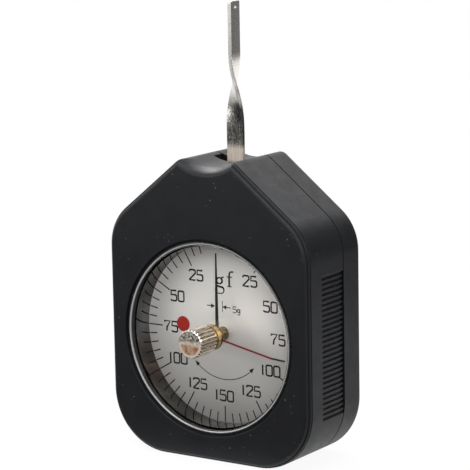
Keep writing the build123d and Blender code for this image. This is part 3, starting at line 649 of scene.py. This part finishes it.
def new_piece(name, work, finish, body):
    """Writes a bmesh to an object that rides on a body."""
    mesh = bpy.data.meshes.new(name)
    bmesh.ops.recalc_face_normals(work, faces=work.faces)
    work.to_mesh(mesh)
    work.free()
    mesh.materials.append(finish.material)
    piece = bpy.data.objects.new(name, mesh)
    bpy.context.scene.collection.objects.link(piece)
    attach(piece, body)


def print_graduations(sizes, black):
    """Graduations round the dial, each fifth one longer, with a gap at the top."""
    first, last = 3, 57                 # counted clockwise from the top of the dial
    step_angle = TURN_PER_UNIT * UNITS_PER_TICK
    centre = Matrix.Translation((DIAL_CENTRE.x, DIAL_FACE, DIAL_CENTRE.z))
    work = bmesh.new()
    for step in range(first, last + 1):
        start = sizes.major_tick_start if step % 5 == 0 else sizes.minor_tick_start
        length = sizes.tick_end - start
        place = centre @ Matrix.Rotation(math.radians(step_angle * step), 4, "Y")
        place @= Matrix.Translation((0, 0, (sizes.tick_end + start) / 2))
        place @= Matrix.Diagonal((sizes.tick_width, sizes.print_rise, length, 1))
        bmesh.ops.create_cube(work, size=1, matrix=place)
    new_piece("dial_graduations", work, black, "root")


def print_figures(sizes, black):
    """Figures both ways from the top, and the highest once at the foot."""
    figures = Printing("dial_figures")
    highest, gap = 150, 25
    both_ways = [side * value for value in range(gap, highest, gap) for side in (-1, 1)]
    for value in (*both_ways, highest):
        place = on_circle(sizes.figure_radius, TURN_PER_UNIT * value)
        figures.figure(str(abs(value)), place, sizes.figure_height, sizes.figure_stroke)
    figures.mesh(sizes.print_rise, black)


def draw_unit(marks):
    """The letters of the unit, gf, with thick and thin strokes."""
    letter_g, letter_f = (-1.1, 13.9), (2.0, 12.6)
    marks.smooth(in_mm(oval(0.95, 0.85), letter_g), [THIN, THICK, THICK, THICK] * 2, True)
    marks.smooth(in_mm([(0.5, 0.7), (0.9, 1.05), (1.35, 0.95)], letter_g), [THIN, THIN, THICK])
    tail = [
        (-0.5, -0.6), (-1.0, -1.15), (-0.2, -1.6), (1.35, -1.65), (1.45, -3.1), (0, -3.5), (-1.4, -3.1),
        (-1.3, -1.9), (-0.3, -1.5),
    ]
    marks.smooth(in_mm(tail, letter_g), [THIN, THIN, THICK, THICK] + [THIN] * 5)
    stem = [(0, 0), (0, 1.4), (0, 3.4), (0.5, 4.1), (1.3, 3.9)]
    marks.smooth(in_mm(stem, letter_f), [THICK, THICK, THICK, THIN, THICK])
    marks.line(in_mm([(-0.75, 2.55), (0.95, 2.55)], letter_f), THIN)
    marks.line(in_mm([(-0.6, 0), (0.75, 0)], letter_f), THIN)


def draw_value_of_step(marks):
    """The value of one graduation, with two arrows that point at its width."""
    row, letter_g, figure_centre = (0, 6.95), (4.75, 6.4), (3.55 * MM, 6.6 * MM)
    left_tip, left_tail, right_tip, right_tail = -2.65, -5.2, -0.27, 2.25
    marks.line(in_mm([(right_tip, -1.4), (right_tip, 1.6)], row), HAIRLINE)
    for tip, tail, way in ((left_tip, left_tail, -1), (right_tip, right_tail, 1)):
        marks.line(in_mm([(tip + 0.5 * way, 0), (tail, 0)], row), 0.26 * MM)
        marks.line(in_mm([(tip, 0), (tip + 1.2 * way, 0)], row), ARROWHEAD)
    marks.figure("5", figure_centre, 1.6 * MM, THIN)
    marks.smooth(in_mm(oval(0.42, 0.42), letter_g), THIN, True)
    marks.line(in_mm([(0.45, 0.45), (0.45, -0.85), (0.25, -1.05), (-0.35, -1.0)], letter_g), THIN)


def draw_arc(marks, radius):
    """A plain arc below the knob, with an arrowhead at each end."""
    marks.line([on_circle(radius, angle) for angle in range(138, 223, 3)], HAIRLINE)
    for tip, base in ((132, 139), (228, 221)):
        marks.line([on_circle(radius, tip), on_circle(radius, base)], ARROWHEAD)


def print_dot(sizes, red):
    """The red dot on the left of the dial."""
    across, up = -12.9 * MM, 1.14 * MM
    place = Matrix.Translation((DIAL_CENTRE.x + across, DIAL_FACE, DIAL_CENTRE.z + up))
    work = bmesh.new()
    bmesh.ops.create_circle(
        work, cap_ends=True, radius=sizes.dot_radius, segments=64,
        matrix=place @ Matrix.Rotation(math.pi / 2, 4, "X"),
    )
    top = bmesh.ops.extrude_face_region(work, geom=work.faces[:])["geom"]
    top = [item for item in top if isinstance(item, bmesh.types.BMVert)]
    bmesh.ops.translate(work, vec=(0, -sizes.print_rise * 1.5, 0), verts=top)
    new_piece("dial_dot", work, red, "root")


# ---------------------------------------------------------------- stage
def dark_card(name, place, tilt, width, length):
    """A dark card beside the object that only reflections show."""
    work = bmesh.new()
    lean = Matrix.Translation(place) @ Matrix.Rotation(math.radians(tilt), 4, "X")
    bmesh.ops.create_grid(
        work, x_segments=1, y_segments=1, size=0.5, matrix=lean @ Matrix.Diagonal((width, length, 1, 1))
    )
    mesh = bpy.data.meshes.new(name)
    work.to_mesh(mesh)
    work.free()
    dark = Finish(name)
    dark.set(base_color=(0.03, 0.03, 0.032, 1), roughness=0.9, specular_ior_level=0.0)
    mesh.materials.append(dark.material)
    card = bpy.data.objects.new(name, mesh)
    bpy.context.scene.collection.objects.link(card)
    for ray in ("camera", "diffuse", "volume_scatter", "shadow"):
        setattr(card, "visible_" + ray, False)


def pale_floor():
    """A pale floor that takes the object's shadow and goes over into white away from it."""
    half_side = 3.0
    near, far = 0.15, 0.6               # distances from the object's origin, in metres
    near_white, far_white = 0.93, 1.0   # shares of pure white there
    work = bmesh.new()
    bmesh.ops.create_grid(work, x_segments=1, y_segments=1, size=half_side)
    mesh = bpy.data.meshes.new("floor")
    work.to_mesh(mesh)
    work.free()
    floor = bpy.data.objects.new("floor", mesh)
    bpy.context.scene.collection.objects.link(floor)
    pale = Finish("pale_floor")
    pale.set(roughness=0.8, specular_ior_level=0.1)
    pale.to("Base Color", pale.blend(pale.noise(14, 2), (0.81, 0.81, 0.81), (0.83, 0.83, 0.83)))
    glow = pale.nodes.new("ShaderNodeEmission").outputs["Emission"]
    white = pale.range(pale.length(pale.place), near, far, near_white, far_white)
    pale.show(pale.mix(pale.times(pale.seen(), white), pale.surface.outputs["BSDF"], glow))
    mesh.materials.append(pale.material)


def white_surroundings():
    """A white background to look at, and a softer light that grows with height."""
    low, high = -0.1, 0.9               # height of a direction, from -1 below to 1 above
    light_low, light_high = 0.42, 0.85  # strengths of the light from there
    world = bpy.data.worlds.new("studio")
    bpy.context.scene.world = world
    world.use_nodes = True
    around = Shading(world.node_tree)
    split = around.nodes.new("ShaderNodeSeparateXYZ")
    around.link(around.nodes.new("ShaderNodeTexCoord").outputs["Generated"], split.inputs[0])
    light = around.range(split.outputs["Z"], low, high, light_low, light_high)
    strength = around.nodes.new("ShaderNodeMix")
    strength.data_type = "FLOAT"
    around.link(around.seen(), strength.inputs["Factor"])
    around.link(light, strength.inputs[2])
    strength.inputs[3].default_value = 1.0
    background = around.nodes["Background"]
    background.inputs["Color"].default_value = (1, 1, 1, 1)
    around.link(strength.outputs[0], background.inputs["Strength"])


def soft_lamp(name, place, size, energy):
    """A square lamp turned towards the middle of the object."""
    aim = Vector((0, 0, 0.05))
    lamp = bpy.data.lights.new(name, "AREA")
    lamp.size = size
    lamp.energy = energy
    holder = bpy.data.objects.new(name, lamp)
    holder.location = place
    holder.rotation_euler = (Vector(place) - aim).to_track_quat("Z", "Y").to_euler()
    bpy.context.scene.collection.objects.link(holder)


def long_lens():
    """The camera, well back, to the right and a little above."""
    lens = bpy.data.cameras.new("camera")
    lens.lens = 173.81
    lens.sensor_width = 36
    lens.clip_end = 20
    camera = bpy.data.objects.new("camera", lens)
    camera.location = (0.327186, -0.484514, 0.164110)
    camera.rotation_euler = [math.radians(angle) for angle in (79.7183, 1.0381, 33.7887)]
    bpy.context.scene.collection.objects.link(camera)
    bpy.context.scene.camera = camera


# ---------------------------------------------------------------- operators
class GAUGE_OT_case(bpy.types.Operator):
    """Give both halves of the case their moulded finish, and blacken the screws"""

    bl_idname = "gauge.case"
    bl_label = "Case"

    def execute(self, context):
        black = moulded_black()
        for node in ("front_case", "rear_case"):
            dress(node, black)
        screw_black = context.scene.gauge_colours.screw_black
        dress("case_screws", brushed_metal("blackened_screws", screw_black, rough=(0.35, 0.5)))
        return {"FINISHED"}


class GAUGE_OT_window(bpy.types.Operator):
    """Finish the window: its ring, its clear crystal and the wall round the dial"""

    bl_idname = "gauge.window"
    bl_label = "Window"

    def execute(self, context):
        dress("window_ring", bright_ring())
        dress("crystal", clear_window())
        dress("dial_spacer", gloss_black())
        return {"FINISHED"}


class GAUGE_OT_dial(bpy.types.Operator):
    """Finish the dial in satin silver and print its scale, figures and marks"""

    bl_idname = "gauge.dial"
    bl_label = "Dial"

    def execute(self, context):
        sizes = context.scene.gauge_sizes
        colours = context.scene.gauge_colours
        dress("dial", satin_silver())
        black = ink("printing_black", colours.print_black)
        print_graduations(sizes, black)
        print_figures(sizes, black)
        marks = Printing("dial_marks")
        draw_unit(marks)
        draw_value_of_step(marks)
        draw_arc(marks, sizes.arc_radius)
        marks.mesh(sizes.print_rise, black)
        print_dot(sizes, ink("printing_red", colours.dot_red, 1500))
        return {"FINISHED"}


class GAUGE_OT_pointers(bpy.types.Operator):
    """Paint the black pointer and the red peak pointer, and finish their hubs"""

    bl_idname = "gauge.pointers"
    bl_label = "Pointers"

    def execute(self, context):
        colours = context.scene.gauge_colours
        dress("pointer", ink("pointer_black", colours.pointer_black, 1500))
        dress("peak_pointer", peak_pointer_paint())
        # painted shade: the hubs' brass is darkened to about a quarter, as they sit in shade
        hub = turned_brass("hub_brass_painted_shade", tinted(colours.yellow_brass, 0.26), (0.2, 0.34))
        dress("pointer_hub", hub)
        dress("peak_hub", hub)
        return {"FINISHED"}


class GAUGE_OT_knob(bpy.types.Operator):
    """Finish the fluted reset knob, its washer, bush and nut"""

    bl_idname = "gauge.knob"
    bl_label = "Reset knob"

    def execute(self, context):
        dress("reset_knob", fluted_brass())
        bush = grooved_brass()
        for node in ("knob_bush", "bush_nut", "friction_washer"):
            dress(node, bush)
        return {"FINISHED"}


class GAUGE_OT_lever(bpy.types.Operator):
    """Finish the twisted feeler lever, its rivets and its shaft"""

    bl_idname = "gauge.lever"
    bl_label = "Feeler lever"

    def execute(self, context):
        colours = context.scene.gauge_colours
        dress("feeler_lever", plated_strip())
        dress("lever_rivets", brushed_metal("rivet_steel", colours.rivet_steel))
        dress("lever_shaft", brushed_metal("shaft_steel", colours.shaft_steel, stretch=(1, 0.05, 1)))
        return {"FINISHED"}


class GAUGE_OT_movement(bpy.types.Operator):
    """Finish the movement inside the case"""

    bl_idname = "gauge.movement"
    bl_label = "Movement"

    def execute(self, context):
        colours = context.scene.gauge_colours
        plate = brushed_metal("plate_brass", colours.yellow_brass, stretch=(1, 1, 0.05))
        bush = turned_brass("movement_bush_brass", tinted(colours.yellow_brass, 0.9))
        steel = brushed_metal("movement_steel", colours.movement_steel)
        spring = brushed_metal(
            "spring_steel", colours.spring_steel, stretch=(1, 0.1, 1), rough=(0.2, 0.32)
        )
        for finish, nodes in (
            (plate, ("movement_front_plate", "movement_rear_plate", "plate_pillars")),
            (plate, ("lever_hub", "sector_gear", "balance_weight")),
            (bush, ("arbor_bushes", "lever_bushes", "hairspring_collet", "hairspring_stud")),
            (bush, ("spring_collet", "spring_stud")),
            (steel, ("pillar_screws", "movement_screws", "pinion_arbor", "stop_pins")),
            (spring, ("hairspring", "measuring_spring")),
        ):
            for node in nodes:
                dress(node, finish)
        return {"FINISHED"}


class GAUGE_OT_stage(bpy.types.Operator):
    """Set up the pale floor, the surroundings, the dark cards, the soft lamps and the camera"""

    bl_idname = "gauge.stage"
    bl_label = "Stage"

    def execute(self, context):
        context.scene.view_settings.view_transform = "Standard"
        pale_floor()
        white_surroundings()
        dark_card("dark_card_front", (-0.02, -0.104, 0.043), tilt=-26.0, width=0.66, length=0.191)
        dark_card("dark_card_rear", (0.21, 0.15, 0.105), tilt=90.0, width=0.32, length=0.2)
        soft_lamp("lamp_rear_top", (0.05, 0.75, 0.62), size=0.7, energy=1.5)
        soft_lamp("lamp_front_left", (-0.75, -0.8, 0.4), size=0.6, energy=3.8)
        soft_lamp("lamp_front_right", (0.75, -0.85, 0.45), size=0.5, energy=4.6)
        soft_lamp("lamp_rear_left", (-0.6, 0.5, 0.75), size=0.4, energy=5.4)
        soft_lamp("lamp_top", (0.1, -0.3, 0.85), size=0.55, energy=4.6)
        long_lens()
        return {"FINISHED"}


OPERATORS = (
    GAUGE_OT_case, GAUGE_OT_window, GAUGE_OT_dial, GAUGE_OT_pointers, GAUGE_OT_knob, GAUGE_OT_lever,
    GAUGE_OT_movement, GAUGE_OT_stage,
)


class VIEW3D_PT_gauge(bpy.types.Panel):
    """Lists the gauge's sizes, colours and pieces"""

    bl_label = "Force gauge"
    bl_idname = "VIEW3D_PT_gauge"
    bl_space_type = "VIEW_3D"
    bl_region_type = "UI"
    bl_category = "Force gauge"

    def draw(self, context):
        for group in (context.scene.gauge_sizes, context.scene.gauge_colours):
            box = self.layout.box()
            for name in group.__annotations__:
                box.prop(group, name)
        for operator in OPERATORS:
            self.layout.operator(operator.bl_idname)


CLASSES = (GaugeSizes, GaugeColours, *OPERATORS, VIEW3D_PT_gauge)


def register():
    for item in CLASSES:
        bpy.utils.register_class(item)
    bpy.types.Scene.gauge_sizes = bpy.props.PointerProperty(type=GaugeSizes)
    bpy.types.Scene.gauge_colours = bpy.props.PointerProperty(type=GaugeColours)


def unregister():
    del bpy.types.Scene.gauge_colours
    del bpy.types.Scene.gauge_sizes
    for item in reversed(CLASSES):
        bpy.utils.unregister_class(item)


def main():
    register()
    bpy.ops.gauge.stage()
    bpy.ops.gauge.case()
    bpy.ops.gauge.window()
    bpy.ops.gauge.dial()
    bpy.ops.gauge.pointers()
    bpy.ops.gauge.knob()
    bpy.ops.gauge.lever()
    bpy.ops.gauge.movement()


if __name__ == "__main__":
    main()
